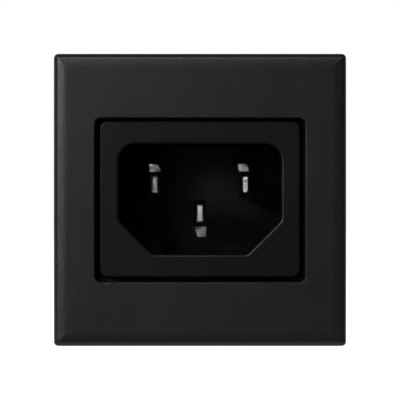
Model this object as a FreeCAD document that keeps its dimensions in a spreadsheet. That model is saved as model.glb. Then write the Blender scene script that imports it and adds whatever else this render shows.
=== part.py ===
import FreeCAD, Part
import math
import os
import Sketcher

# Panel inlet socket, appliance inlet C14 in a square 45 mm module.
# X runs to the right, Y into the panel and Z up. The origin is the centre of the module in its
# seat plane, where the rear rim of the cover's skirt rests on the support frame.
# Seen from the front, line is on the left, neutral on the right and earth below them.

SIZES = [
    # square cover
    ("face_width", 44.5),
    ("face_height", 44.5),
    ("face_depth", 9.0),
    ("face_wall", 2.2),
    ("face_corner", 0.8),
    ("skirt_wall", 1.8),
    ("crown_width", 2.0),
    ("crown_radius", 6.0),
    ("edge_radius", 1.0),
    ("window_side_gap", 0.8),
    ("window_end_gap", 0.65),
    ("window_corner", 0.95),
    ("window_edge", 0.12),
    ("collar_wall", 1.8),
    ("catch_offset", 12.0),
    ("catch_width", 5.0),
    ("catch_reach", 0.6),
    ("catch_length", 1.3),
    ("catch_play", 0.05),
    # inlet moulding, centred a little above the module's middle
    ("inlet_rise", 0.15),
    ("flange_side", 2.8),
    ("flange_end", 3.375),
    ("flange_corner", 1.2),
    ("flange_edge", 0.1),
    ("flange_recess", 1.0),
    ("flange_thickness", 2.6),
    ("cavity_width", 24.8),
    ("cavity_height", 16.95),
    ("cavity_depth", 16.0),
    ("cavity_corner", 2.6),
    ("cavity_chamfer", 5.2),
    ("cavity_blend", 1.1),
    ("cavity_draft", 0.9),
    ("cavity_wall", 0.95),
    ("lip_radius", 0.33),
    ("floor_bevel", 0.25),
    ("floor_thickness", 2.6),
    ("arm_gap", 0.5),
    ("arm_thickness", 0.8),
    ("arm_width", 6.0),
    ("arm_length", 7.5),
    ("arm_root", 1.6),
    ("arm_nose", 1.6),
    ("barb_reach", 0.5),
    ("barb_length", 3.4),
    ("barb_play", 0.05),
    # contacts
    ("pin_pitch", 14.0),
    ("earth_drop", 4.5),
    ("pin_thickness", 2.0),
    ("pin_width", 4.0),
    ("pin_length", 11.0),
    ("earth_length", 12.0),
    ("tip_flat_thickness", 0.7),
    ("tip_flat_width", 2.3),
    ("tip_length", 1.2),
    ("shoulder_width", 1.9),
    ("shoulder_narrow", 1.3),
    ("shoulder_rise", 1.45),
    ("shoulder_top", 1.3),
    ("earth_shoulder_extra", 0.4),
    ("shoulder_stand", 2.2),
    ("bar_width", 4.0),
    ("bar_thickness", 1.6),
    ("bar_length", 10.0),
    # carrier frame
    ("cover_clearance", 0.15),
    ("panel_thickness", 2.0),
    ("cutout_clearance", 0.15),
    ("wall_inset", 0.6),
    ("wall_thickness", 1.2),
    ("wall_corner", 2.2),
    ("wall_reach", 6.0),
    ("latch_width", 12.0),
    ("latch_slot", 1.2),
    ("latch_root", 1.0),
    ("latch_tail", 3.0),
    ("hook_inset", 1.0),
    ("hook_reach", 2.3),
    ("hook_land", 0.8),
    ("hook_length", 4.6),
    ("frame_thickness", 2.0),
    ("frame_play", 0.2),
    # fixings between carrier, terminal housing and rear cover
    ("ear_pitch", 22.0),
    ("ear_offset", 2.1),
    ("ear_margin", 1.9),
    ("ear_width", 4.4),
    ("ear_thickness", 2.2),
    ("ear_corner", 1.2),
    ("boss_radius", 1.9),
    ("boss_height", 2.5),
    ("fixing_radius", 1.1),
    ("fixing_clearance", 0.2),
    ("fixing_head_radius", 1.9),
    ("fixing_head_height", 1.5),
    ("fixing_tip_room", 0.7),
    ("fixing_recess_span", 2.2),
    ("fixing_recess_width", 0.55),
    ("fixing_recess_depth", 0.8),
    ("housing_screw_grip", 4.2),
    ("cover_screw_grip", 6.0),
    ("cover_screw_height", 8.0),
    # terminal housing and its cover
    ("rim_play", 0.1),
    ("pocket_play", 0.2),
    ("arm_window_play", 0.25),
    ("arm_window_end", 1.0),
    ("block_wall", 1.6),
    ("block_corner", 2.0),
    ("tail_play", 0.2),
    ("partition", 1.6),
    ("chamber_length", 10.0),
    ("chamber_play", 0.15),
    ("chamber_foot", 0.6),
    ("chamber_wall", 2.05),
    ("roof_thickness", 2.4),
    ("bar_play", 0.15),
    ("access_radius", 2.2),
    ("core_wall", 1.6),
    ("core_depth", 7.0),
    ("cover_thickness", 2.2),
    ("wire_radius", 1.8),
    ("funnel_size", 0.7),
    # rising clamps and their captive screws
    ("clamp_width", 5.6),
    ("clamp_length", 6.0),
    ("clamp_roof", 1.8),
    ("clamp_base", 1.0),
    ("clamp_window", 5.0),
    ("clamp_corner", 0.6),
    ("clamp_setback", 4.8),
    ("clamp_rest", 0.1),
    ("clamp_travel", 2.4),
    ("clamp_stop", 0.05),
    ("bar_slide", 0.2),
    ("screw_radius", 1.5),
    ("thread_play", 0.05),
    ("screw_tip_play", 0.05),
    ("head_radius", 2.6),
    ("head_height", 2.2),
    ("head_play", 0.1),
    ("slot_width", 0.8),
    ("slot_depth", 1.1),
    ("cross_span", 3.2),
]

# Planes across the depth, front to rear.
FACE = "(-Sizes.face_depth)"
FACE_REAR = "(-Sizes.face_depth + Sizes.face_wall)"
FLANGE_FRONT = "(-Sizes.face_depth + Sizes.flange_recess)"
PANEL_FRONT = f"({FLANGE_FRONT} + Sizes.flange_thickness)"
PANEL_REAR = f"({PANEL_FRONT} + Sizes.panel_thickness)"
EAR_FRONT = f"({PANEL_REAR} + Sizes.boss_height)"
EAR_REAR = f"({EAR_FRONT} + Sizes.ear_thickness)"
HOOK_FACE = "(Sizes.frame_thickness + Sizes.frame_play)"
FLOOR = f"({FLANGE_FRONT} + Sizes.cavity_depth)"
INLET_REAR = f"({FLOOR} + Sizes.floor_thickness)"
POCKET_REAR = f"({INLET_REAR} + Sizes.tail_play)"
CHAMBER_FRONT = f"({POCKET_REAR} + Sizes.partition)"
BLOCK_REAR = f"({CHAMBER_FRONT} + Sizes.chamber_length)"
COVER_REAR = f"({BLOCK_REAR} + Sizes.cover_thickness)"
CLAMP_CENTRE = f"({CHAMBER_FRONT} + Sizes.clamp_setback)"

# Heights of a terminal, measured from the middle of its contact, screw side up.
BAR_TOP = "(Sizes.bar_thickness / 2)"
WINDOW_TOP = f"({BAR_TOP} + Sizes.clamp_rest)"
WINDOW_BOTTOM = f"({WINDOW_TOP} - Sizes.clamp_window)"
CLAMP_TOP = f"({WINDOW_TOP} + Sizes.clamp_roof)"
CLAMP_BOTTOM = f"({WINDOW_BOTTOM} - Sizes.clamp_base)"
SCREW_TIP = f"({BAR_TOP} + Sizes.screw_tip_play)"
HEAD_UNDER = f"({CLAMP_TOP} + Sizes.clamp_travel + Sizes.clamp_stop)"
HEAD_TOP = f"({HEAD_UNDER} + Sizes.head_height)"
CHAMBER_TOP = f"({HEAD_TOP} + Sizes.head_play)"
CHAMBER_BOTTOM = f"({CLAMP_BOTTOM} - Sizes.chamber_foot)"
WIRE_HEIGHT = f"(({WINDOW_BOTTOM} - {BAR_TOP}) / 2)"

# Half sizes across the face.
FLANGE_X = "(Sizes.cavity_width / 2 + Sizes.flange_side)"
FLANGE_Z = "(Sizes.cavity_height / 2 + Sizes.flange_end)"
WINDOW_X = f"({FLANGE_X} + Sizes.window_side_gap)"
WINDOW_Z = f"({FLANGE_Z} + Sizes.window_end_gap)"
PIN_X = "(Sizes.pin_pitch / 2)"
PIN_Z = "(Sizes.earth_drop / 2)"
SHELL_X = "(Sizes.cavity_width / 2 + Sizes.cavity_wall)"
ARM_INNER = f"({SHELL_X} + Sizes.arm_gap)"
ARM_OUTER = f"({ARM_INNER} + Sizes.arm_thickness)"
BARB_OUTER = f"({ARM_OUTER} + Sizes.barb_reach)"
POCKET_X = f"({SHELL_X} + Sizes.pocket_play)"
BLOCK_X = f"({POCKET_X} + Sizes.block_wall)"
BLOCK_Z = f"({PIN_Z} + {CHAMBER_TOP} + Sizes.roof_thickness)"
POCKET_Z = f"({BLOCK_Z} - Sizes.block_wall)"
CHAMBER_X = "(Sizes.clamp_width / 2 + Sizes.chamber_play)"
REAR_X = f"({PIN_X} + {CHAMBER_X} + Sizes.chamber_wall)"
EAR_X = "(Sizes.ear_pitch / 2)"
EAR_Z = f"({BLOCK_Z} + Sizes.ear_offset)"
SKIRT_X = "(Sizes.face_width / 2 - Sizes.skirt_wall)"
SKIRT_Z = "(Sizes.face_height / 2 - Sizes.skirt_wall)"
PANEL_X = f"({SKIRT_X} - Sizes.cover_clearance)"
PANEL_Z = f"({SKIRT_Z} - Sizes.cover_clearance)"
WALL_X = f"({PANEL_X} - Sizes.wall_inset)"
WALL_Z = f"({PANEL_Z} - Sizes.wall_inset)"
LATCH_X = "(Sizes.latch_width / 2)"

doc = FreeCAD.newDocument("PanelInlet")
sheet = doc.addObject("Spreadsheet::Sheet", "Sizes")
for row, (alias, number) in enumerate(SIZES, 1):
    sheet.set(f"A{row}", alias)
    sheet.set(f"B{row}", str(number))
    sheet.setAlias(f"B{row}", alias)
doc.recompute()

nodes = []


def value(expression):
    """Present value of an expression in the sheet's sizes."""
    found = sheet.evalExpression(expression)
    return float(getattr(found, "Value", found))


def new_body(name, x="0", y="0", z="0"):
    body = doc.addObject("PartDesign::Body", name)
    body.Label = name
    body.setExpression("Placement.Base.x", x)
    body.setExpression("Placement.Base.y", y)
    body.setExpression("Placement.Base.z", z)
    nodes.append(body)
    return body


def origin_plane(body, role):
    return next(item for item in body.Origin.OriginFeatures if item.Role == role)


def new_sketch(body, name, role, offset):
    sketch = body.newObject("Sketcher::SketchObject", name)
    sketch.AttachmentSupport = [(origin_plane(body, role), "")]
    sketch.MapMode = "FlatFace"
    sketch.setExpression("AttachmentOffset.Base.z", offset)
    return sketch


def front_sketch(body, name, y="0"):
    """Sketch square to the depth: across is X, up is Z. Its normal points forwards."""
    return new_sketch(body, name, "XZ_Plane", f"-({y})")


def plan_sketch(body, name, z="0"):
    """Sketch seen from above: across is X, up is Y. Its normal points up."""
    return new_sketch(body, name, "XY_Plane", z)


def side_sketch(body, name, x="0"):
    """Sketch seen from the side: across is Y, up is Z. Its normal points right."""
    return new_sketch(body, name, "YZ_Plane", x)


def bind(sketch, kind, *arguments):
    *places, expression = arguments
    index = sketch.addConstraint(Sketcher.Constraint(kind, *places, value(expression)))
    sketch.setExpression(f"Constraints[{index}]", expression)


def place_point(sketch, item, end, x, y):
    bind(sketch, "DistanceX", -1, 1, item, end, x)
    bind(sketch, "DistanceY", -1, 1, item, end, y)


def add_arc(sketch, centre, radius, first, last):
    """Arc from first to last round the centre; also says which of its ends is which."""
    onward = (first - centre).cross(last - centre).z > 0
    begin, finish = (first, last) if onward else (last, first)
    low = math.atan2(begin.y - centre.y, begin.x - centre.x)
    high = math.atan2(finish.y - centre.y, finish.x - centre.x)
    if high < low:
        high += 2 * math.pi
    circle = Part.Circle(centre, FreeCAD.Vector(0, 0, 1), radius)
    index = sketch.addGeometry(Part.ArcOfCircle(circle, low, high), False)
    return (index, 1, 2) if onward else (index, 2, 1)


def outline(sketch, corners):
    """Closed outline through corners (x, y) or, where one is rounded, (x, y, radius)."""
    count = len(corners)
    tops = [FreeCAD.Vector(value(c[0]), value(c[1]), 0) for c in corners]
    radii = [value(c[2]) if len(c) > 2 else 0 for c in corners]
    enter = []
    leave = []
    centres = []
    for i, top in enumerate(tops):
        back = (tops[i - 1] - top).normalize()
        ahead = (tops[(i + 1) % count] - top).normalize()
        half = back.getAngle(ahead) / 2
        run = radii[i] / math.tan(half)
        enter.append(top + back * run)
        leave.append(top + ahead * run)
        centres.append(top + (back + ahead).normalize() * (radii[i] / math.sin(half)))
    sides = []
    for i in range(count):
        side = Part.LineSegment(leave[i], enter[(i + 1) % count])
        sides.append(sketch.addGeometry(side, False))
    for i, corner in enumerate(corners):
        before = sides[i - 1]
        after = sides[i]
        if radii[i] == 0:
            sketch.addConstraint(Sketcher.Constraint("Coincident", before, 2, after, 1))
            place_point(sketch, after, 1, corner[0], corner[1])
            continue
        arc, first, last = add_arc(sketch, centres[i], radii[i], enter[i], leave[i])
        sketch.addConstraint(Sketcher.Constraint("Tangent", before, 2, arc, first))
        sketch.addConstraint(Sketcher.Constraint("Tangent", after, 1, arc, last))
        bind(sketch, "Radius", arc, corner[2])
        top = sketch.addGeometry(Part.Point(tops[i]), True)
        sketch.addConstraint(Sketcher.Constraint("PointOnObject", top, 1, before))
        sketch.addConstraint(Sketcher.Constraint("PointOnObject", top, 1, after))
        place_point(sketch, top, 1, corner[0], corner[1])


def box_outline(sketch, left, right, low, high, radius=None):
    corners = [(left, low), (right, low), (right, high), (left, high)]
    outline(sketch, [c + (radius,) if radius else c for c in corners])


def centred_outline(sketch, half_x, half_y, radius=None, x="0", y="0"):
    left = f"{x} - {half_x}"
    right = f"{x} + {half_x}"
    box_outline(sketch, left, right, f"{y} - {half_y}", f"{y} + {half_y}", radius)


def circle_outline(sketch, x, y, radius):
    centre = FreeCAD.Vector(value(x), value(y), 0)
    circle = Part.Circle(centre, FreeCAD.Vector(0, 0, 1), value(radius))
    index = sketch.addGeometry(circle, False)
    bind(sketch, "Radius", index, radius)
    place_point(sketch, index, 3, x, y)


def inlet_outline(sketch, grow="0", z="0"):
    """The C14 outline, flat on top with two slanted lower corners, grown evenly all round."""
    half_x = f"(Sizes.cavity_width / 2 + {grow})"
    half_z = f"(Sizes.cavity_height / 2 + {grow})"
    slant = f"(Sizes.cavity_chamfer + (2 - sqrt(2)) * {grow})"
    blend = f"(Sizes.cavity_blend + {grow})"
    corner = f"(Sizes.cavity_corner + {grow})"
    low = f"{z} - {half_z}"
    high = f"{z} + {half_z}"
    outline(sketch, [
        (f"-{half_x}", f"{low} + {slant}", blend),
        (f"-{half_x} + {slant}", low, blend),
        (f"{half_x} - {slant}", low, blend),
        (half_x, f"{low} + {slant}", blend),
        (half_x, high, corner),
        (f"-{half_x}", high, corner),
    ])


def extrude(body, kind, sketch, name, length, reverse=False, both=False):
    """Pad along the sketch's normal, or Pocket against it; reverse turns either round."""
    before = body.Shape.Volume if body.Tip else 0
    feature = body.newObject(f"PartDesign::{kind}", name)
    feature.Profile = sketch
    feature.Reversed = reverse
    feature.Midplane = both
    feature.setExpression("Length", length)
    doc.recompute()
    grown = feature.Shape.Volume - before
    if (grown > 0) != (kind == "Pad") or abs(grown) < 1e-6:
        raise ValueError(f"{body.Label}: {name} changes the volume by {grown}")
    return feature


def pad(body, sketch, name, length, **options):
    return extrude(body, "Pad", sketch, name, length, **options)


def pocket(body, sketch, name, length, **options):
    return extrude(body, "Pocket", sketch, name, length, **options)


def dress(body, kind, name, base, test, prop, size):
    """Fillet or Chamfer of the base's edges whose every vertex passes the test."""
    edges = []
    for i, edge in enumerate(base.Shape.Edges, 1):
        if all(test(vertex.Point) for vertex in edge.Vertexes):
            edges.append(f"Edge{i}")
    feature = body.newObject(f"PartDesign::{kind}", name)
    feature.Base = (base, edges)
    feature.setExpression(prop, size)
    doc.recompute()
    return feature


def near(a, b):
    return abs(a - b) < 1e-5


def mirror(body, feature, name, role):
    copy = body.newObject("PartDesign::Mirrored", name)
    copy.Originals = [feature]
    copy.MirrorPlane = (origin_plane(body, role), [""])
    body.Tip = copy
    doc.recompute()
    return copy


def revolve(body, sketch, name):
    feature = body.newObject("PartDesign::Revolution", name)
    feature.Profile = sketch
    feature.ReferenceAxis = (sketch, ["V_Axis"])
    feature.Angle = 360
    doc.recompute()
    return feature


def crown_outline(sketch, side, half, turned):
    """Waste outside the soft front edge on one side of the cover: a wide shallow arc that
    leaves the face, then a small one that meets the skirt. turned swaps the sketch's axes."""
    wide = value("Sizes.crown_radius")
    small = value("Sizes.edge_radius")
    soft = value("Sizes.crown_width")
    edge = value(half)
    face = value(FACE)
    lean = math.asin((soft - small) / (wide - small))

    def at(across, depth):
        return FreeCAD.Vector(depth, across, 0) if turned else FreeCAD.Vector(across, depth, 0)

    inner = edge - soft
    meet = face + wide - (wide - small) * math.cos(lean)
    start = at(side * inner, face)
    join = at(side * (inner + wide * math.sin(lean)), face + wide * (1 - math.cos(lean)))
    stop = at(side * edge, meet)
    spare = [
        stop,
        at(side * (edge + soft), meet),
        at(side * (edge + soft), face - soft),
        at(side * inner, face - soft),
        start,
    ]
    lines = []
    for a, b in zip(spare, spare[1:]):
        lines.append(sketch.addGeometry(Part.LineSegment(a, b), False))
    arc, arc_start, arc_join = add_arc(sketch, at(side * inner, face + wide), wide, start, join)
    tip, tip_join, tip_stop = add_arc(sketch, at(side * (edge - small), meet), small, join, stop)
    for a, b in zip(lines, lines[1:]):
        sketch.addConstraint(Sketcher.Constraint("Coincident", a, 2, b, 1))
    sketch.addConstraint(Sketcher.Constraint("Coincident", lines[3], 2, arc, arc_start))
    sketch.addConstraint(Sketcher.Constraint("Tangent", arc, arc_join, tip, tip_join))
    sketch.addConstraint(Sketcher.Constraint("Coincident", tip, tip_stop, lines[0], 1))
    sketch.addConstraint(Sketcher.Constraint("PointOnObject", arc, 3, lines[3]))
    sketch.addConstraint(Sketcher.Constraint("PointOnObject", tip, 3, lines[0]))
    across, depth = ("Vertical", "Horizontal") if turned else ("Horizontal", "Vertical")
    for line, kind in zip(lines, (across, depth, across, depth)):
        sketch.addConstraint(Sketcher.Constraint(kind, line))
    bind(sketch, "Radius", arc, "Sizes.crown_radius")
    bind(sketch, "Radius", tip, "Sizes.edge_radius")
    along, down = ("DistanceY", "DistanceX") if turned else ("DistanceX", "DistanceY")
    bind(sketch, along, -1, 1, arc, arc_start, f"{side} * ({half} - Sizes.crown_width)")
    bind(sketch, down, -1, 1, arc, arc_start, FACE)
    bind(sketch, along, -1, 1, tip, tip_stop, f"{side} * {half}")
    bind(sketch, along, -1, 1, lines[1], 2, f"{side} * ({half} + Sizes.crown_width)")
    bind(sketch, down, -1, 1, lines[1], 2, f"{FACE} - Sizes.crown_width")


def build_front_plate():
    """Square cover: a front wall with the window, and a skirt down to the support frame."""
    body = new_body("front_plate")
    sketch = front_sketch(body, "CoverOutline", FACE)
    centred_outline(sketch, "Sizes.face_width / 2", "Sizes.face_height / 2", "Sizes.face_corner")
    pad(body, sketch, "CoverBlock", "Sizes.face_depth", reverse=True)
    sketch = plan_sketch(body, "SideCrowns")
    for side in (-1, 1):
        crown_outline(sketch, side, "(Sizes.face_width / 2)", False)
    pocket(body, sketch, "SoftSides", "2 * Sizes.face_height", both=True)
    sketch = side_sketch(body, "EndCrowns")
    for side in (-1, 1):
        crown_outline(sketch, side, "(Sizes.face_height / 2)", True)
    pocket(body, sketch, "SoftEnds", "2 * Sizes.face_width", both=True)
    sketch = front_sketch(body, "SkirtInside")
    centred_outline(sketch, SKIRT_X, SKIRT_Z)
    pocket(body, sketch, "Hollow", f"-{FACE_REAR}", reverse=True)
    # collar round the window, bearing on the carrier panel
    sketch = front_sketch(body, "CollarOutline", FACE_REAR)
    centred_outline(
        sketch,
        f"({WINDOW_X} + Sizes.collar_wall)",
        f"({WINDOW_Z} + Sizes.collar_wall)",
        "Sizes.window_corner + Sizes.collar_wall",
    )
    pad(body, sketch, "Collar", f"{PANEL_FRONT} - {FACE_REAR}", reverse=True)
    # wedge-shaped catches inside the skirt, which snap behind the edge of the carrier panel
    sketch = plan_sketch(body, "CatchProfiles", "Sizes.catch_offset")
    catch = f"({PANEL_REAR} + Sizes.catch_play)"
    for side in ("", "-"):
        points = [
            (f"{side}{SKIRT_X}", catch),
            (f"{side}({SKIRT_X} - Sizes.catch_reach)", catch),
            (f"{side}{SKIRT_X}", f"{catch} + Sizes.catch_length"),
        ]
        outline(sketch, points if side else points[::-1])
    catches = pad(body, sketch, "Catches", "Sizes.catch_width", both=True)
    mirror(body, catches, "LowerCatches", "XY_Plane")
    sketch = front_sketch(body, "WindowOutline", FACE)
    centred_outline(sketch, WINDOW_X, WINDOW_Z, "Sizes.window_corner")
    window = pocket(body, sketch, "Window", "Sizes.face_depth")
    front = value(FACE)
    reach = value(WINDOW_X) + 1e-3

    def on_window(point):
        return near(point.y, front) and abs(point.x) < reach

    dress(body, "Chamfer", "WindowEdge", window, on_window, "Size", "Sizes.window_edge")


def build_carrier_frame():
    """Module frame: a panel inside the cover, walls behind it and a latch arm at the top and
    the bottom, whose hooks hold the module in the support frame."""
    body = new_body("carrier_frame")
    sketch = front_sketch(body, "PanelOutline", PANEL_FRONT)
    centred_outline(sketch, PANEL_X, PANEL_Z)
    pad(body, sketch, "Panel", "Sizes.panel_thickness", reverse=True)
    sketch = front_sketch(body, "WallOutline", PANEL_REAR)
    centred_outline(sketch, WALL_X, WALL_Z, "Sizes.wall_corner")
    inner = "(Sizes.wall_corner - Sizes.wall_thickness)"
    inner_x = f"({WALL_X} - Sizes.wall_thickness)"
    inner_z = f"({WALL_Z} - Sizes.wall_thickness)"
    centred_outline(sketch, inner_x, inner_z, inner)
    pad(body, sketch, "Walls", f"Sizes.wall_reach - {PANEL_REAR}", reverse=True)
    sketch = front_sketch(body, "TailOutline", "Sizes.wall_reach")
    box_outline(sketch, f"-{LATCH_X}", LATCH_X, inner_z, WALL_Z)
    tail = pad(body, sketch, "TopTail", "Sizes.latch_tail", reverse=True)
    mirror(body, tail, "BottomTail", "XY_Plane")
    sketch = side_sketch(body, "HookProfile")
    outline(sketch, [
        (HOOK_FACE, WALL_Z),
        (f"{HOOK_FACE} + Sizes.hook_length", WALL_Z),
        (f"{HOOK_FACE} + Sizes.hook_land", f"{WALL_Z} + Sizes.hook_reach"),
        (HOOK_FACE, f"{WALL_Z} + Sizes.hook_reach"),
    ])
    hook = pad(body, sketch, "TopHook", "Sizes.latch_width - 2 * Sizes.hook_inset", both=True)
    mirror(body, hook, "BottomHook", "XY_Plane")
    sketch = plan_sketch(body, "LatchSlots")
    far_x = f"({LATCH_X} + Sizes.latch_slot)"
    for left, right in ((f"-{far_x}", f"-{LATCH_X}"), (LATCH_X, far_x)):
        root = f"{PANEL_REAR} + Sizes.latch_root"
        box_outline(sketch, left, right, root, "Sizes.wall_reach + Sizes.latch_slot")
    pocket(body, sketch, "LatchSlotCuts", "Sizes.face_height", both=True)
    # bosses for the screws of the terminal housing
    sketch = front_sketch(body, "BossOutlines", PANEL_REAR)
    boss_places = []
    for x in (f"-{EAR_X}", EAR_X):
        for z in (f"Sizes.inlet_rise - {EAR_Z}", f"Sizes.inlet_rise + {EAR_Z}"):
            boss_places.append((x, z))
    for x, z in boss_places:
        circle_outline(sketch, x, z, "Sizes.boss_radius")
    pad(body, sketch, "Bosses", "Sizes.boss_height", reverse=True)
    sketch = front_sketch(body, "PilotOutlines", PANEL_FRONT)
    for x, z in boss_places:
        circle_outline(sketch, x, z, "Sizes.fixing_radius")
    pocket(body, sketch, "PilotHoles", "Sizes.panel_thickness + Sizes.boss_height")
    # cut-out for the inlet, with a notch at each side for its snap arm
    sketch = front_sketch(body, "CutoutOutline", PANEL_FRONT)
    inlet_outline(sketch, "(Sizes.cavity_wall + Sizes.cutout_clearance)", "Sizes.inlet_rise")
    pocket(body, sketch, "Cutout", "Sizes.panel_thickness")
    sketch = front_sketch(body, "NotchOutline", PANEL_FRONT)
    centred_outline(
        sketch,
        f"({ARM_OUTER} + Sizes.cutout_clearance)",
        "(Sizes.arm_width / 2 + Sizes.cutout_clearance)",
        y="Sizes.inlet_rise",
    )
    pocket(body, sketch, "Notches", "Sizes.panel_thickness")


def build_inlet_housing():
    """Inlet moulding: flange, drafted cavity with two slanted lower corners, floor with the
    slots that the contacts are moulded into, and a snap arm at each side."""
    body = new_body("inlet_housing", z="Sizes.inlet_rise")
    sketch = front_sketch(body, "FlangeOutline", FLANGE_FRONT)
    centred_outline(sketch, FLANGE_X, FLANGE_Z, "Sizes.flange_corner")
    pad(body, sketch, "Flange", "Sizes.flange_thickness", reverse=True)
    sketch = front_sketch(body, "ShellOutline", PANEL_FRONT)
    inlet_outline(sketch, "Sizes.cavity_wall")
    pad(body, sketch, "Shell", f"{INLET_REAR} - {PANEL_FRONT}", reverse=True)
    sketch = plan_sketch(body, "ArmProfiles")
    tip = f"({PANEL_FRONT} + Sizes.panel_thickness - Sizes.arm_nose)"
    catch = f"({PANEL_REAR} + Sizes.barb_play)"
    root = f"({PANEL_REAR} + Sizes.arm_length)"
    for side in ("", "-"):
        points = [
            (f"{side}{ARM_INNER}", tip),
            (f"{side}{ARM_OUTER}", tip),
            (f"{side}{ARM_OUTER}", catch),
            (f"{side}{BARB_OUTER}", catch),
            (f"{side}{ARM_OUTER}", f"{catch} + Sizes.barb_length"),
            (f"{side}{ARM_OUTER}", root),
            (f"{side}{SHELL_X}", f"{root} + Sizes.arm_root"),
            (f"{side}{SHELL_X}", f"{root} - Sizes.arm_root"),
            (f"{side}{ARM_INNER}", f"{root} - Sizes.arm_root"),
        ]
        outline(sketch, points[::-1] if side else points)
    pad(body, sketch, "SnapArms", "Sizes.arm_width", both=True)
    sketch = front_sketch(body, "CavityOutline", FLANGE_FRONT)
    inlet_outline(sketch)
    cavity = pocket(body, sketch, "Cavity", "Sizes.cavity_depth")
    cavity.setExpression("TaperAngle", "-Sizes.cavity_draft")
    doc.recompute()
    front = value(FLANGE_FRONT)
    floor = value(FLOOR)
    half = value("Sizes.cavity_width / 2") + 1e-3

    def on_lip(point):
        return near(point.y, front) and abs(point.x) < half

    def on_flange(point):
        return near(point.y, front) and not on_lip(point)

    def on_floor(point):
        return near(point.y, floor)

    lip = dress(body, "Fillet", "Lip", cavity, on_lip, "Radius", "Sizes.lip_radius")
    edge = dress(body, "Chamfer", "FlangeEdge", lip, on_flange, "Size", "Sizes.flange_edge")
    dress(body, "Chamfer", "FloorEdge", edge, on_floor, "Size", "Sizes.floor_bevel")
    sketch = front_sketch(body, "ShankSlots", FLOOR)
    for x, z in ((f"-{PIN_X}", PIN_Z), (PIN_X, PIN_Z), ("0", f"-{PIN_Z}")):
        centred_outline(sketch, "Sizes.pin_thickness / 2", "Sizes.pin_width / 2", x=x, y=z)
    pocket(body, sketch, "Slots", "Sizes.floor_thickness")


def build_contact(name, x, z, length, turn, extra):
    """Flat pin with a tapered tip, a shoulder that stands on the cavity floor beside its outer
    edge, and a flat bar behind the floor that reaches through the clamp. extra is what its
    shoulder is taller by."""
    body = new_body(name, x, z=z)
    body.Placement.Rotation = FreeCAD.Rotation(FreeCAD.Vector(0, 1, 0), turn)
    tip = f"({FLOOR} - {length})"
    half_x = "(Sizes.pin_thickness / 2)"
    half_z = "(Sizes.pin_width / 2)"
    sketch = front_sketch(body, "PinOutline", tip)
    centred_outline(sketch, half_x, half_z)
    pad(body, sketch, "Pin", f"{length} + Sizes.floor_thickness", reverse=True)
    sketch = front_sketch(body, "BarOutline", INLET_REAR)
    centred_outline(sketch, "Sizes.bar_width / 2", BAR_TOP)
    pad(body, sketch, "Bar", "Sizes.bar_length", reverse=True)
    sketch = side_sketch(body, "ShoulderProfile", f"-{half_x}")
    outline(sketch, [
        (f"{FLOOR} - Sizes.shoulder_stand", half_z),
        (FLOOR, half_z),
        (FLOOR, f"{half_z} + Sizes.shoulder_rise + {extra}"),
        (f"{FLOOR} - Sizes.shoulder_stand", f"{half_z} + Sizes.shoulder_top + {extra}"),
    ])
    pad(body, sketch, "Shoulder", "Sizes.shoulder_width")
    sketch = front_sketch(body, "ShoulderSlant", f"{FLOOR} - Sizes.shoulder_stand")
    outline(sketch, [
        (f"Sizes.shoulder_width - {half_x}", half_z),
        (f"Sizes.shoulder_width - {half_x}", f"{half_z} + Sizes.shoulder_rise + {extra}"),
        (f"Sizes.shoulder_narrow - {half_x}", f"{half_z} + Sizes.shoulder_rise + {extra}"),
    ])
    pocket(body, sketch, "ShoulderSlantCut", "Sizes.shoulder_stand")
    back = f"({tip} + Sizes.tip_length)"
    sketch = plan_sketch(body, "TipSides")
    for side in ("", "-"):
        points = [
            (f"{side}(Sizes.tip_flat_thickness / 2)", tip),
            (f"{side}(Sizes.tip_flat_thickness / 2)", f"{tip} - Sizes.tip_length"),
            (f"{side}Sizes.pin_thickness", f"{tip} - Sizes.tip_length"),
            (f"{side}Sizes.pin_thickness", back),
            (f"{side}{half_x}", back),
        ]
        outline(sketch, points[::-1] if side else points)
    pocket(body, sketch, "TipSideCuts", "2 * Sizes.pin_width", both=True)
    sketch = side_sketch(body, "TipEnds")
    for side in ("", "-"):
        points = [
            (tip, f"{side}(Sizes.tip_flat_width / 2)"),
            (f"{tip} - Sizes.tip_length", f"{side}(Sizes.tip_flat_width / 2)"),
            (f"{tip} - Sizes.tip_length", f"{side}Sizes.pin_width"),
            (back, f"{side}Sizes.pin_width"),
            (back, f"{side}{half_z}"),
        ]
        outline(sketch, points if side else points[::-1])
    pocket(body, sketch, "TipEndCuts", "2 * Sizes.pin_thickness", both=True)


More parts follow.
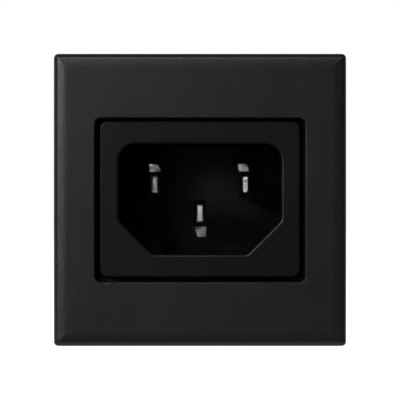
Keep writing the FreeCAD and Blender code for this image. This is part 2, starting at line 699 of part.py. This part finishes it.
def build_clamp(name, x, z, turn):
    """Rising cage: the bar and the wire share its window, and the screw draws it up so that
    its base presses the wire against the bar. Drawn open, at its lowest."""
    body = new_body(name, x, CLAMP_CENTRE, z)
    body.Placement.Rotation = FreeCAD.Rotation(FreeCAD.Vector(0, 1, 0), turn)
    start = "-Sizes.clamp_length / 2"
    half_x = "(Sizes.clamp_width / 2)"
    sketch = front_sketch(body, "CageOutline", start)
    cut = "Sizes.clamp_corner"
    outline(sketch, [
        (f"{cut} - {half_x}", CLAMP_BOTTOM),
        (f"{half_x} - {cut}", CLAMP_BOTTOM),
        (half_x, f"{CLAMP_BOTTOM} + {cut}"),
        (half_x, f"{CLAMP_TOP} - {cut}"),
        (f"{half_x} - {cut}", CLAMP_TOP),
        (f"{cut} - {half_x}", CLAMP_TOP),
        (f"-{half_x}", f"{CLAMP_TOP} - {cut}"),
        (f"-{half_x}", f"{CLAMP_BOTTOM} + {cut}"),
    ])
    pad(body, sketch, "Cage", "Sizes.clamp_length", reverse=True)
    half_window = "(Sizes.bar_width / 2 + Sizes.bar_slide)"
    sketch = front_sketch(body, "WindowOutline", start)
    box_outline(sketch, f"-{half_window}", half_window, WINDOW_BOTTOM, WINDOW_TOP)
    pocket(body, sketch, "Window", "Sizes.clamp_length")
    sketch = plan_sketch(body, "ThreadOutline", CLAMP_TOP)
    circle_outline(sketch, "0", "0", "Sizes.screw_radius + Sizes.thread_play")
    pocket(body, sketch, "ThreadedHole", "Sizes.clamp_roof")


def build_clamp_screw(name, x, z, turn):
    """Clamp screw, captive between the housing roof and the bar, with a combined slot and
    cross recess."""
    body = new_body(name, x, CLAMP_CENTRE, z)
    body.Placement.Rotation = FreeCAD.Rotation(FreeCAD.Vector(0, 1, 0), turn)
    sketch = front_sketch(body, "ScrewProfile")
    outline(sketch, [
        ("0", SCREW_TIP),
        ("Sizes.screw_radius", SCREW_TIP),
        ("Sizes.screw_radius", HEAD_UNDER),
        ("Sizes.head_radius", HEAD_UNDER),
        ("Sizes.head_radius", HEAD_TOP),
        ("0", HEAD_TOP),
    ])
    revolve(body, sketch, "Screw")
    sketch = plan_sketch(body, "SlotOutline", HEAD_TOP)
    centred_outline(sketch, "Sizes.head_radius", "Sizes.slot_width / 2")
    pocket(body, sketch, "Slot", "Sizes.slot_depth")
    sketch = plan_sketch(body, "CrossOutline", HEAD_TOP)
    centred_outline(sketch, "Sizes.slot_width / 2", "Sizes.cross_span / 2")
    pocket(body, sketch, "Cross", "Sizes.slot_depth")


def build_terminal_housing():
    """Housing behind the inlet: a front pocket round the inlet, a partition that the bars pass
    through, and three terminal chambers open to the rear."""
    body = new_body("terminal_housing", z="Sizes.inlet_rise")
    rim = f"({PANEL_REAR} + Sizes.rim_play)"
    sketch = front_sketch(body, "BlockOutline", rim)
    centred_outline(sketch, BLOCK_X, BLOCK_Z, "Sizes.block_corner")
    pad(body, sketch, "FrontBlock", f"{CHAMBER_FRONT} - {rim}", reverse=True)
    sketch = front_sketch(body, "RearOutline", CHAMBER_FRONT)
    centred_outline(sketch, REAR_X, BLOCK_Z, "Sizes.block_corner")
    pad(body, sketch, "RearBlock", "Sizes.chamber_length", reverse=True)
    sketch = front_sketch(body, "PocketOutline", rim)
    centred_outline(sketch, POCKET_X, POCKET_Z)
    pocket(body, sketch, "Pocket", f"{POCKET_REAR} - {rim}")
    # windows in the side walls for the snap arms, open at the rim
    sketch = side_sketch(body, "ArmWindows")
    window_rear = f"{PANEL_REAR} + Sizes.arm_length + Sizes.arm_root + Sizes.arm_window_end"
    half_window = "(Sizes.arm_width / 2 + Sizes.arm_window_play)"
    box_outline(sketch, PANEL_REAR, window_rear, f"-{half_window}", half_window)
    pocket(body, sketch, "ArmWindowCuts", f"2 * {BLOCK_X} + Sizes.block_wall", both=True)
    sketch = front_sketch(body, "BarWindows", POCKET_REAR)
    half_x = "(Sizes.bar_width / 2 + Sizes.bar_play)"
    half_z = "(Sizes.bar_thickness / 2 + Sizes.bar_play)"
    for x, z in ((f"-{PIN_X}", PIN_Z), (PIN_X, PIN_Z), ("0", f"-{PIN_Z}")):
        centred_outline(sketch, half_x, half_z, x=x, y=z)
    pocket(body, sketch, "BarWindowCuts", "Sizes.partition")
    sketch = front_sketch(body, "ChamberOutlines", BLOCK_REAR)
    low = f"({PIN_Z} + {CHAMBER_BOTTOM})"
    high = f"({PIN_Z} + {CHAMBER_TOP})"
    chambers = [(f"-{PIN_X}", low, high), (PIN_X, low, high), ("0", f"-{high}", f"-{low}")]
    for x, bottom, top in chambers:
        left = f"{x} - {CHAMBER_X}"
        right = f"{x} + {CHAMBER_X}"
        box_outline(sketch, left, right, bottom, top)
    pocket(body, sketch, "Chambers", "Sizes.chamber_length", reverse=True)
    # screwdriver holes over the clamp screws
    sketch = plan_sketch(body, "TopAccess", BLOCK_Z)
    for x in (f"-{PIN_X}", PIN_X):
        circle_outline(sketch, x, CLAMP_CENTRE, "Sizes.access_radius")
    pocket(body, sketch, "TopAccessHoles", "Sizes.roof_thickness")
    sketch = plan_sketch(body, "BottomAccess", f"-{BLOCK_Z}")
    circle_outline(sketch, "0", CLAMP_CENTRE, "Sizes.access_radius")
    pocket(body, sketch, "BottomAccessHole", "Sizes.roof_thickness", reverse=True)
    # core over the earth chamber, which keeps the walls even
    sketch = front_sketch(body, "CoreOutline", BLOCK_REAR)
    core_low = f"Sizes.core_wall - {low}"
    core_high = f"{BLOCK_Z} - Sizes.core_wall"
    box_outline(sketch, f"-{CHAMBER_X}", CHAMBER_X, core_low, core_high)
    pocket(body, sketch, "Core", "Sizes.core_depth", reverse=True)
    # ears for the screws into the carrier
    sketch = front_sketch(body, "EarOutlines", EAR_FRONT)
    for x in (f"-{EAR_X}", EAR_X):
        left = f"{x} - Sizes.ear_width / 2"
        right = f"{x} + Sizes.ear_width / 2"
        top = f"{EAR_Z} + Sizes.ear_margin"
        root = f"{BLOCK_Z} - Sizes.block_wall / 2"
        outline(sketch, [
            (left, root),
            (right, root),
            (right, f"{top} - Sizes.ear_corner"),
            (f"{right} - Sizes.ear_corner", top),
            (f"{left} + Sizes.ear_corner", top),
            (left, f"{top} - Sizes.ear_corner"),
        ])
    ears = pad(body, sketch, "UpperEars", "Sizes.ear_thickness", reverse=True)
    mirror(body, ears, "LowerEars", "XY_Plane")
    sketch = front_sketch(body, "EarHoleOutlines", EAR_FRONT)
    for x in (f"-{EAR_X}", EAR_X):
        for z in (f"-{EAR_Z}", EAR_Z):
            circle_outline(sketch, x, z, "Sizes.fixing_radius + Sizes.fixing_clearance")
    pocket(body, sketch, "EarHoles", "Sizes.ear_thickness")
    # pilot holes for the screws of the rear cover
    sketch = front_sketch(body, "CoverPilots", BLOCK_REAR)
    for x in (f"-{PIN_X}", PIN_X):
        circle_outline(sketch, x, "-Sizes.cover_screw_height", "Sizes.fixing_radius")
    depth = "Sizes.cover_screw_grip + Sizes.fixing_tip_room"
    pocket(body, sketch, "CoverPilotHoles", depth, reverse=True)


def build_terminal_cover():
    """Rear cover with a wire funnel behind each clamp."""
    body = new_body("terminal_cover", z="Sizes.inlet_rise")
    sketch = front_sketch(body, "CoverOutline", BLOCK_REAR)
    centred_outline(sketch, REAR_X, BLOCK_Z, "Sizes.block_corner")
    pad(body, sketch, "CoverPlate", "Sizes.cover_thickness", reverse=True)
    sketch = front_sketch(body, "ScrewHoles", BLOCK_REAR)
    for x in (f"-{PIN_X}", PIN_X):
        radius = "Sizes.fixing_radius + Sizes.fixing_clearance"
        circle_outline(sketch, x, "-Sizes.cover_screw_height", radius)
    pocket(body, sketch, "ScrewHoleCuts", "Sizes.cover_thickness")
    sketch = front_sketch(body, "WireHoles", BLOCK_REAR)
    height = f"({PIN_Z} + {WIRE_HEIGHT})"
    for x, z in ((f"-{PIN_X}", height), (PIN_X, height), ("0", f"-{height}")):
        circle_outline(sketch, x, z, "Sizes.wire_radius")
    holes = pocket(body, sketch, "WireHoleCuts", "Sizes.cover_thickness")
    rear = value(COVER_REAR)
    limit = value(f"-{height}") + value("Sizes.wire_radius") + 1e-3

    def on_funnel(point):
        return near(point.y, rear) and abs(point.z) < limit and abs(point.x) < value(REAR_X) - 1e-3

    dress(body, "Chamfer", "Funnels", holes, on_funnel, "Size", "Sizes.funnel_size")


def build_fixing_screw(name, x, y, z, length):
    """Thread-forming screw that points forwards, with a pan head and a cross recess. Its own
    origin is under the head."""
    body = new_body(name, x, y, z)
    sketch = plan_sketch(body, "ScrewProfile")
    outline(sketch, [
        ("0", f"-({length})"),
        ("Sizes.fixing_radius", f"-({length})"),
        ("Sizes.fixing_radius", "0"),
        ("Sizes.fixing_head_radius", "0"),
        ("Sizes.fixing_head_radius", "Sizes.fixing_head_height"),
        ("0", "Sizes.fixing_head_height"),
    ])
    revolve(body, sketch, "Screw")
    span = "Sizes.fixing_recess_span / 2"
    width = "Sizes.fixing_recess_width / 2"
    for label, half_x, half_z in (("Across", span, width), ("Upright", width, span)):
        sketch = front_sketch(body, f"Recess{label}", "Sizes.fixing_head_height")
        centred_outline(sketch, half_x, half_z)
        pocket(body, sketch, f"Cross{label}", "Sizes.fixing_recess_depth", reverse=True)


build_front_plate()
build_carrier_frame()
build_inlet_housing()
build_terminal_housing()
build_terminal_cover()
upper = f"Sizes.inlet_rise + {PIN_Z}"
lower = f"Sizes.inlet_rise - {PIN_Z}"
for pole, x, z, length, turn, extra in (
    ("line", f"-{PIN_X}", upper, "Sizes.pin_length", 0, "0"),
    ("neutral", PIN_X, upper, "Sizes.pin_length", 0, "0"),
    ("earth", "0", lower, "Sizes.earth_length", 180, "Sizes.earth_shoulder_extra"),
):
    build_contact(f"contact_{pole}", x, z, length, turn, extra)
    build_clamp(f"clamp_{pole}", x, z, turn)
    build_clamp_screw(f"clamp_screw_{pole}", x, z, turn)
grip = "Sizes.ear_thickness + Sizes.housing_screw_grip"
for number, (x, z) in enumerate((("-", "+"), ("", "+"), ("-", "-"), ("", "-")), 1):
    height = f"Sizes.inlet_rise {z} {EAR_Z}"
    build_fixing_screw(f"housing_screw_{number}", f"{x}{EAR_X}", EAR_REAR, height, grip)
grip = "Sizes.cover_thickness + Sizes.cover_screw_grip"
for number, x in enumerate((f"-{PIN_X}", PIN_X), 1):
    height = "Sizes.inlet_rise - Sizes.cover_screw_height"
    build_fixing_screw(f"cover_screw_{number}", x, COVER_REAR, height, grip)

doc.recompute()
for item in doc.Objects:
    if "Invalid" in item.State or "Error" in item.State:
        raise ValueError(f"{item.Label} did not compute: {item.State}")
os.makedirs("parts", exist_ok=True)
for body in nodes:
    if body.Shape.isNull() or not body.Shape.isValid():
        raise ValueError(f"{body.Label} has no valid shape")
    if len(body.Shape.Solids) != 1:
        raise ValueError(f"{body.Label} has {len(body.Shape.Solids)} solids")
    body.Shape.exportStep(os.path.join("parts", f"{body.Label}.step"))
    bounds = body.Shape.BoundBox
    print(body.Label, round(body.Shape.Volume, 3), bounds)
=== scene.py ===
import math

import bpy
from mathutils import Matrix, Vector


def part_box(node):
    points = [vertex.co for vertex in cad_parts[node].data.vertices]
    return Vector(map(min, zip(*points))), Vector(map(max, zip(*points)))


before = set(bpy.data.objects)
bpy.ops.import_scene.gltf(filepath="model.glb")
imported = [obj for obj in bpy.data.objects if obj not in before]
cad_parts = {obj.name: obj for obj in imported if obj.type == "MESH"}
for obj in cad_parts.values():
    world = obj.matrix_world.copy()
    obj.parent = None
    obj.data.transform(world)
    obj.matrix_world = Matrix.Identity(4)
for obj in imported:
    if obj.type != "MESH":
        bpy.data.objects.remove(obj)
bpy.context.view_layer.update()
scene = bpy.context.scene
scene.view_settings.view_transform = "Standard"

WHITE = (1.0, 1.0, 1.0)

# Noise scales, in features for each metre.
DRIFT = 110.0  # slow drifts of a plastic's tone
FLOW = 380.0  # marks in a polish
CLOUDS = 900.0  # clouds in a plating
MARKS = 7000.0  # drawing marks in a metal
FINER = 3.1  # scale of a plastic's finest marks, over its grain's

# Depths in metres, or as a share.
CLOUD_DEPTH = 0.000008
MARK_DEPTH = 0.000005
FINER_DEPTH = 0.25  # depth of the finest marks, over the grain's
POLISHED_DEPTH = 0.12  # what a polish leaves of the grain's relief

DRIFT_SHARE = 0.2  # part of a plastic's tone that drifts slowly, the grain having the rest

# Edges.
EDGE_COSINES = (0.9, 0.998)  # from a full edge to none, by how far the normal is turned
SMOOTHED = 0.82  # roughness of an edge that handling has smoothed, over the plastic's
HANDLED = (0.3, 0.8)  # how far an edge is smoothed, changing from place to place
DULLED = 0.06  # roughness that a plated edge gains
EDGE_TONE = 0.8  # tone of a plated edge, over the plating's
EDGE_BLEND = 0.35  # how much of that tone shows
ROOT_SHADE_TONE = 0.5  # tone of a contact's root deep in the cavity, over the plating's: painted shade

POLISH_SPAN = 0.0004  # metres over which grain turns into polish


def grey(level):
    return (level, level, level)


def feed(tree, socket, given):
    """Links a node's output to the socket, or sets a plain value on it."""
    if isinstance(given, bpy.types.NodeSocket):
        tree.links.new(given, socket)
    else:
        socket.default_value = given


def node(tree, kind, **inputs):
    """New node with its inputs fed by name, an underscore standing for a space."""
    made = tree.nodes.new(kind)
    for name, given in inputs.items():
        feed(tree, made.inputs[name.replace("_", " ")], given)
    return made


def noise(tree, where, scale, detail=3.0, rough=0.5):
    made = node(
        tree, "ShaderNodeTexNoise", Vector=where, Scale=scale, Detail=detail, Roughness=rough
    )
    return made.outputs["Fac"]


def spread(tree, fac, low, high, at=(0.3, 0.7)):
    """fac's span between at[0] and at[1], as values between low and high."""
    made = node(
        tree, "ShaderNodeMapRange",
        Value=fac, From_Min=at[0], From_Max=at[1], To_Min=low, To_Max=high,
    )
    return made.outputs["Result"]


def maths(tree, operation, a, b):
    made = tree.nodes.new("ShaderNodeMath")
    made.operation = operation
    for socket, given in zip(made.inputs, (a, b)):
        feed(tree, socket, given)
    return made.outputs[0]


def blend(tree, fac, a, b, kind="RGBA"):
    """a where fac is 0 and b where it is 1, as colours or, with kind FLOAT, as numbers."""
    made = tree.nodes.new("ShaderNodeMix")
    made.data_type = kind
    sockets = [s for s in made.inputs if s.enabled and s.name in ("A", "B")]
    for socket, given in zip(sockets, (a, b)):
        plain_colour = kind == "RGBA" and not isinstance(given, bpy.types.NodeSocket)
        feed(tree, socket, (*given, 1.0) if plain_colour else given)
    feed(tree, next(s for s in made.inputs if s.enabled and s.name == "Factor"), fac)
    return next(s for s in made.outputs if s.enabled)


def behind(tree, where, span):
    """0 in front of a span of Y and 1 behind it."""
    split = node(tree, "ShaderNodeSeparateXYZ", Vector=where)
    return spread(tree, split.outputs["Y"], 0.0, 1.0, span)


def new_material(name):
    material = bpy.data.materials.new(name)
    material.use_nodes = True
    tree = material.node_tree
    where = tree.nodes.new("ShaderNodeTexCoord").outputs["Object"]
    return material, tree, tree.nodes["Principled BSDF"], where


def edges(tree, radius):
    """Normal that rounds the edges off by that radius, and a mask that is 1 along them."""
    bevel = node(tree, "ShaderNodeBevel", Radius=radius)
    bevel.samples = 8
    plain = tree.nodes.new("ShaderNodeNewGeometry").outputs["Normal"]
    dot = tree.nodes.new("ShaderNodeVectorMath")
    dot.operation = "DOT_PRODUCT"
    tree.links.new(bevel.outputs["Normal"], dot.inputs[0])
    tree.links.new(plain, dot.inputs[1])
    return bevel.outputs["Normal"], spread(tree, dot.outputs["Value"], 1.0, 0.0, EDGE_COSINES)


def relief(tree, shader, normal, heights, strength=1.0):
    """Bumps one over another, each given as its height and distance."""
    for height, distance in heights:
        bump = node(
            tree, "ShaderNodeBump",
            Height=height, Normal=normal, Distance=distance, Strength=strength,
        )
        normal = bump.outputs["Normal"]
    tree.links.new(normal, shader.inputs["Normal"])


def plastic(name, dark, light, rough, grain, depth, edge, shine, polish=None):
    """Moulded plastic with spark-eroded grain: slow drifts of tone, fine changes of gloss and
    edges that handling has smoothed. Behind the start that polish gives along Y, the plastic
    has the polish's roughness and tone, and a dark tint of gloss that dims its reflections:
    painted shade for a deep recess."""
    material, tree, shader, where = new_material(name)
    shader.inputs["Specular IOR Level"].default_value = shine
    slow = noise(tree, where, DRIFT, detail=2.0)
    fine = noise(tree, where, grain, rough=0.65)
    micro = noise(tree, where, grain * FINER, detail=2.0)
    normal, rim = edges(tree, edge)
    drifts = spread(tree, slow, 0.0, DRIFT_SHARE)
    speckle = maths(tree, "ADD", drifts, spread(tree, fine, 0.0, 1.0 - DRIFT_SHARE))
    colour = blend(tree, speckle, dark, light)
    gloss = spread(tree, micro, *rough)
    smoothed = maths(tree, "MULTIPLY", gloss, SMOOTHED)
    worn = blend(tree, spread(tree, fine, *HANDLED), gloss, smoothed, "FLOAT")
    gloss = blend(tree, rim, gloss, worn, "FLOAT")
    strength = 1.0
    if polish:
        inside = behind(tree, where, (polish["start"], polish["start"] + POLISH_SPAN))
        flow = noise(tree, where, FLOW, detail=2.0)
        gloss = blend(tree, inside, gloss, spread(tree, flow, *polish["rough"]), "FLOAT")
        colour = blend(tree, inside, colour, grey(polish["tone"]))
        # Painted shade: behind the polish's start the gloss is tinted dark, so the cavity
        # reflects little.
        shade_tint = blend(tree, inside, WHITE, grey(polish["shade_tint"]))
        feed(tree, shader.inputs["Specular Tint"], shade_tint)
        strength = spread(tree, inside, 1.0, POLISHED_DEPTH, (0.0, 1.0))
    tree.links.new(colour, shader.inputs["Base Color"])
    tree.links.new(gloss, shader.inputs["Roughness"])
    relief(tree, shader, normal, [(fine, depth), (micro, depth * FINER_DEPTH)], strength)
    return material


def plated(name, dark, light, rough, edge, stretch, shaded_root=None):
    """Plated metal: drawing marks, longer along Y the smaller stretch is, clouds in the
    plating and dulled edges. Over the last argument's span of Y its colour darkens into painted
    shade, as on a contact deep in the cavity."""
    material, tree, shader, where = new_material(name)
    drawn = node(tree, "ShaderNodeMapping", Vector=where, Scale=(1.0, stretch, 1.0))
    marks = noise(tree, drawn.outputs["Vector"], MARKS, detail=2.0)
    clouds = noise(tree, where, CLOUDS)
    normal, rim = edges(tree, edge)
    colour = blend(tree, spread(tree, clouds, 0.0, 1.0), dark, light)
    handled = maths(tree, "MULTIPLY", rim, EDGE_BLEND)
    colour = blend(tree, handled, colour, [EDGE_TONE * c for c in dark])
    if shaded_root:
        # Painted shade: the plating darkens behind the given span of Y, where a contact sits
        # deep in the cavity.
        colour = blend(tree, behind(tree, where, shaded_root), colour, [ROOT_SHADE_TONE * c for c in dark])
    dulled = maths(tree, "MULTIPLY", rim, DULLED)
    gloss = maths(tree, "ADD", spread(tree, marks, *rough), dulled)
    tree.links.new(colour, shader.inputs["Base Color"])
    tree.links.new(gloss, shader.inputs["Roughness"])
    shader.inputs["Metallic"].default_value = 1.0
    relief(tree, shader, normal, [(marks, MARK_DEPTH), (clouds, CLOUD_DEPTH)])
    return material


cover_black = plastic(
    "cover_black", (0.0042, 0.0042, 0.0043), (0.0148, 0.0148, 0.0149), rough=(0.28, 0.35),
    grain=3900.0, depth=0.00004, edge=0.00015, shine=0.275,
)
# The polish starts 0.4 mm behind the flange's front. It takes in the cavity, and the
#  housing's outside behind that plane too. Its dark tint of gloss is painted shade, dimming the
#  reflections in the cavity.
inlet_black = plastic(
    "inlet_black", grey(0.001), (0.006, 0.006, 0.0061), rough=(0.27, 0.33),
    grain=3400.0, depth=0.00003, edge=0.00012, shine=0.235,
    polish={"start": -0.0076, "rough": (0.078, 0.092), "tone": 0.0034, "shade_tint": 0.055},
)
# Painted shade: the carrier frame is a darker black than the housing, so the panel seen in the
# gap round the window stays dark.
frame_black_shaded = plastic(
    "frame_black_shaded", (0.0024, 0.0024, 0.0025), (0.0034, 0.0034, 0.0035), rough=(0.46, 0.58),
    grain=2400.0, depth=0.00002, edge=0.00015, shine=0.2,
)
housing_black = plastic(
    "housing_black", (0.008, 0.008, 0.0082), (0.0105, 0.0105, 0.0108), rough=(0.38, 0.5),
    grain=2400.0, depth=0.00002, edge=0.00015, shine=0.4,
)
# The nickel darkens as painted shade behind Y of 2 to 6 mm, towards the cavity's floor.
nickel = plated(
    "nickel", (0.56, 0.55, 0.53), (0.68, 0.67, 0.65), rough=(0.14, 0.18),
    edge=0.00004, stretch=0.04, shaded_root=(0.002, 0.006),
)
zinc = plated(
    "zinc", (0.48, 0.49, 0.5), (0.6, 0.61, 0.62), rough=(0.3, 0.44), edge=0.0001, stretch=1.0
)

finishes = {
    "front_plate": cover_black,
    "carrier_frame": frame_black_shaded,
    "inlet_housing": inlet_black,
    "terminal_housing": housing_black,
    "terminal_cover": housing_black,
    "contact": nickel,
    "clamp": zinc,
    "housing_screw": zinc,
    "cover_screw": zinc,
}
for name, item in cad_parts.items():
    finish = next(found for start, found in finishes.items() if name.startswith(start))
    for place in item.material_slots:
        place.material = finish

# Pale floor well below the module. It ends close in front, because a longer one throws more
# light up on the cover. For the camera it glows, and more so away from the module, up to the
# white of the backdrop.
FLOOR_LEVEL = -0.045
FLOOR_FRONT = -0.03
FLOOR_REACH = 3.0
GLOW = (0.3, 1.0)
GLOW_SPAN = (0.08, 0.2)
corners = [
    (-FLOOR_REACH, FLOOR_FRONT, FLOOR_LEVEL),
    (FLOOR_REACH, FLOOR_FRONT, FLOOR_LEVEL),
    (FLOOR_REACH, FLOOR_REACH, FLOOR_LEVEL),
    (-FLOOR_REACH, FLOOR_REACH, FLOOR_LEVEL),
]
floor_mesh = bpy.data.meshes.new("floor")
floor_mesh.from_pydata(corners, [], [(0, 1, 2, 3)])
floor = bpy.data.objects.new("floor", floor_mesh)
scene.collection.objects.link(floor)
pale, tree, shader, where = new_material("pale_floor")
shader.inputs["Base Color"].default_value = (*grey(0.8), 1.0)
shader.inputs["Roughness"].default_value = 0.9
shader.inputs["Emission Color"].default_value = (*WHITE, 1.0)
length = tree.nodes.new("ShaderNodeVectorMath")
length.operation = "LENGTH"
tree.links.new(where, length.inputs[0])
away = spread(tree, length.outputs["Value"], *GLOW, GLOW_SPAN)
seen = tree.nodes.new("ShaderNodeLightPath").outputs["Is Camera Ray"]
tree.links.new(maths(tree, "MULTIPLY", away, seen), shader.inputs["Emission Strength"])
floor_mesh.materials.append(pale)

# White backdrop for the camera, a dim room for the light that falls on surfaces, and for
# mirrored rays a room that brightens behind the module and is nearly dark in front of it.
ROOM = 0.14
ROOM_MIRRORED = 0.02
BEHIND_MIRRORED = 0.4
BEHIND_SPAN = (0.2, 0.9)  # how far a mirrored ray has to point backwards, as its Y
world = bpy.data.worlds.new("studio")
scene.world = world
world.use_nodes = True
tree = world.node_tree
path = tree.nodes.new("ShaderNodeLightPath").outputs
direction = tree.nodes.new("ShaderNodeTexCoord").outputs["Generated"]
towards = node(tree, "ShaderNodeSeparateXYZ", Vector=direction)
backdrop = spread(tree, towards.outputs["Y"], 0.0, BEHIND_MIRRORED, BEHIND_SPAN)
mirrored = path["Is Glossy Ray"]
room = spread(tree, mirrored, ROOM, ROOM_MIRRORED, (0.0, 1.0))
lit = maths(tree, "MULTIPLY", mirrored, backdrop)
white = maths(tree, "MAXIMUM", path["Is Camera Ray"], lit)
background = tree.nodes["Background"]
background.inputs["Color"].default_value = (*WHITE, 1.0)
feed(tree, background.inputs["Strength"], maths(tree, "MAXIMUM", white, room))


def softbox(name, azimuth, elevation, distance, size, power):
    """Light aimed at the module, in degrees, metres and watts. Azimuth 0 is straight in
    front, and positive to the right."""
    turn = math.radians(azimuth)
    rise = math.radians(elevation)
    ahead = math.cos(rise) * distance
    data = bpy.data.lights.new(name, "AREA")
    data.shape = "RECTANGLE"
    data.size, data.size_y = size
    data.energy = power
    made = bpy.data.objects.new(name, data)
    made.location = (ahead * math.sin(turn), -ahead * math.cos(turn), math.sin(rise) * distance)
    made.rotation_euler = (-Vector(made.location)).to_track_quat("-Z", "Y").to_euler()
    scene.collection.objects.link(made)


softbox("key", -34, 15, distance=0.4, size=(0.14, 0.05), power=1.26)
softbox("top", -15, 41, distance=0.75, size=(0.06, 0.06), power=2.05)
softbox("lens", 0.6, 0.1, distance=0.6, size=(0.006, 0.006), power=0.0105)
softbox("rear_right", 140, 25, distance=0.9, size=(0.5, 0.5), power=3.5)
softbox("rear_left", -140, 25, distance=0.9, size=(0.5, 0.5), power=3.5)

CAMERA_DISTANCE = 0.4  # metres in front of the cover's face
COVER_SHARE = 0.73275  # share of the picture's width that the cover takes
SENSOR = 36.0  # millimetres, as the lens is
camera_data = bpy.data.cameras.new("camera")
camera = bpy.data.objects.new("camera", camera_data)
scene.collection.objects.link(camera)
scene.camera = camera
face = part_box("front_plate")
width = face[1][0] - face[0][0]
camera.location = (0.0, face[0][1] - CAMERA_DISTANCE, 0.0)
camera.rotation_euler = (math.pi / 2, 0.0, 0.0)
camera_data.sensor_width = SENSOR
camera_data.lens = SENSOR * CAMERA_DISTANCE * COVER_SHARE / width
camera_data.clip_start = 0.01
